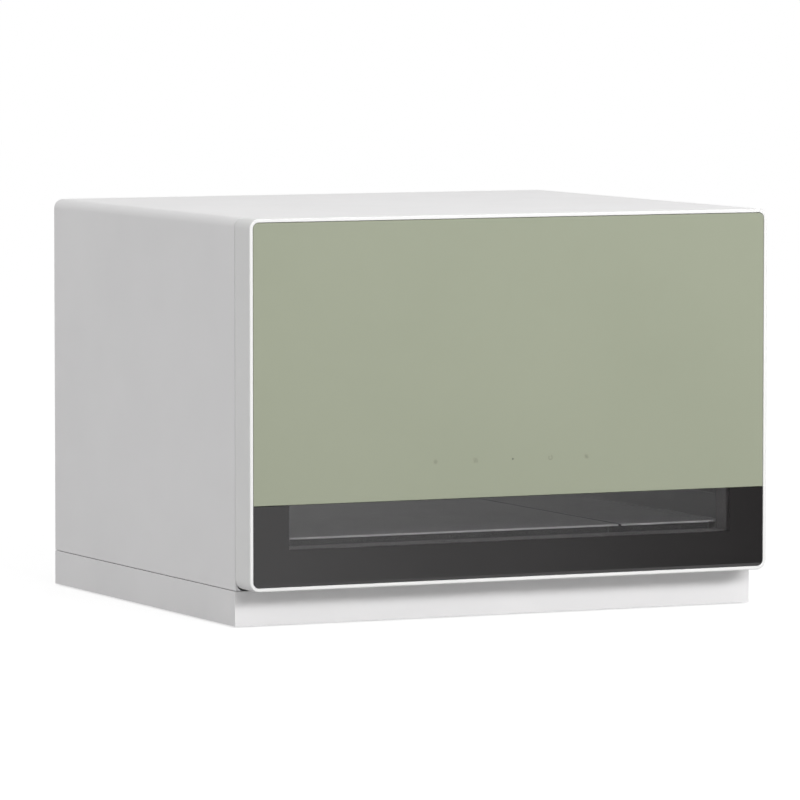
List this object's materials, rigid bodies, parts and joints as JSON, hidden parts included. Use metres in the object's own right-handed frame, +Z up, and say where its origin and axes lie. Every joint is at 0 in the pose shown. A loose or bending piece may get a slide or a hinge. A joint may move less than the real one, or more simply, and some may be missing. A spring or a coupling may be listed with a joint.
{
  "type": "drawer sterilizing dryer",
  "caption": "Countertop sterilizing dryer with a full-width drawer on telescopic slides, a smoked window, slotted trays over drip trays, a fan, heater and lamps.",
  "frame": {"origin": "on the surface that the feet stand on, under the middle of the bounding box", "axes": "+Z up, +X to the right seen from the front, and the drawer opens towards -Y"},
  "size_m": [0.4, 0.3584, 0.2835],
  "materials": {
    "white_casing": "satin white moulding",
    "white_rim": "satin white moulding",
    "green_panel": "matt grey green",
    "smoked_glass": "dark smoked, polished",
    "dark_moulding": "fine grain",
    "black_plastic": "fine grain",
    "polished_steel": "polished",
    "zinc_steel": "zinc plated",
    "tray_plastic": "satin light grey",
    "drip_plastic": "satin mid grey",
    "grey_silicone": "matt silicone",
    "foot_rubber": "matt rubber",
    "heater_alloy": "bare fins",
    "fan_plastic": "fine grain",
    "copper_winding": "enamelled copper",
    "filter_paper": "pleated paper",
    "circuit_board": "solder mask",
    "clear_quartz": "clear, polished",
    "nickel_magnet": "nickel plated",
    "gold_contact": "plated",
    "lead_sheath": "smooth sheath",
    "lead_white": "smooth sheath"
  },
  "bodies": {
    "cabinet": {"plinth_base": "white_casing", "foot_front_left": "foot_rubber", "foot_front_right": "foot_rubber", "foot_rear_left": "foot_rubber", "foot_rear_right": "foot_rubber", "cabinet_shell": "white_casing", "rear_panel": "white_casing", "rear_screw_low_left": "zinc_steel", "rear_screw_low_right": "zinc_steel", "rear_screw_high_left": "zinc_steel", "rear_screw_high_right": "zinc_steel", "chamber_liner": "polished_steel", "left_rail_outer": "zinc_steel", "right_rail_outer": "zinc_steel", "rail_screw_left_front": "zinc_steel", "rail_screw_left_rear": "zinc_steel", "rail_screw_right_front": "zinc_steel", "rail_screw_right_rear": "zinc_steel", "lamp_window_front": "clear_quartz", "lamp_window_rear": "clear_quartz", "lamp_housing_front": "black_plastic", "lamp_housing_rear": "black_plastic", "lamp_board_front": "circuit_board", "lamp_board_rear": "circuit_board", "fan_duct": "black_plastic", "heater": "heater_alloy", "fan_frame": "fan_plastic", "fan_stator": "copper_winding", "control_board": "circuit_board", "power_board": "circuit_board", "power_inlet": "black_plastic", "latch_striker_left": "zinc_steel", "latch_striker_right": "zinc_steel", "drawer_sensor": "black_plastic", "contact_block": "black_plastic", "mains_lead": "lead_sheath", "fan_lead": "lead_white", "board_lead": "lead_white"},
    "drawer": {"front_casing": "white_rim", "green_panel": "green_panel", "window_glass": "smoked_glass", "front_core": "dark_moulding", "touch_board": "circuit_board", "inner_panel": "white_casing", "front_gasket": "grey_silicone", "latch_magnet_left": "nickel_magnet", "latch_magnet_right": "nickel_magnet", "contact_plate": "gold_contact", "drawer_tub": "polished_steel", "left_rail_inner": "zinc_steel", "right_rail_inner": "zinc_steel"},
    "left_rail": {"left_rail_middle": "zinc_steel"},
    "right_rail": {"right_rail_middle": "zinc_steel"},
    "left_drip_tray": {"left_drip_tray": "drip_plastic"},
    "right_drip_tray": {"right_drip_tray": "drip_plastic"},
    "left_tray": {"left_tray": "tray_plastic"},
    "right_tray": {"right_tray": "tray_plastic"},
    "fan_rotor": {"fan_rotor": "fan_plastic"},
    "filter": {"filter_cover": "white_casing", "air_filter": "filter_paper"}
  },
  "joints": [
    {"name": "drawer_slide", "type": "slide", "parent": "cabinet", "child": "drawer", "axis": [0, -1, 0], "range_m": [0, 0.24]},
    {"name": "left_rail_slide", "type": "slide", "parent": "cabinet", "child": "left_rail", "axis": [0, -1, 0], "range_m": [0, 0.12]},
    {"name": "right_rail_slide", "type": "slide", "parent": "cabinet", "child": "right_rail", "axis": [0, -1, 0], "range_m": [0, 0.12]},
    {"name": "left_drip_lift", "type": "slide", "parent": "drawer", "child": "left_drip_tray", "axis": [0, 0, 1], "range_m": [0, 0.06]},
    {"name": "right_drip_lift", "type": "slide", "parent": "drawer", "child": "right_drip_tray", "axis": [0, 0, 1], "range_m": [0, 0.06]},
    {"name": "left_tray_lift", "type": "slide", "parent": "left_drip_tray", "child": "left_tray", "axis": [0, 0, 1], "range_m": [0, 0.04]},
    {"name": "right_tray_lift", "type": "slide", "parent": "right_drip_tray", "child": "right_tray", "axis": [0, 0, 1], "range_m": [0, 0.04]},
    {"name": "fan_spin", "type": "hinge", "parent": "cabinet", "child": "fan_rotor", "pos_m": [0, 0.1306, 0.1485], "axis": [0, 1, 0], "continuous": true},
    {"name": "filter_slide", "type": "slide", "parent": "cabinet", "child": "filter", "axis": [0, 1, 0], "range_m": [0, 0.045]}
  ],
  "couplings": [
    {"joint": "left_rail_slide", "follows": "drawer_slide", "ratio": 0.5},
    {"joint": "right_rail_slide", "follows": "drawer_slide", "ratio": 0.5}
  ]
}
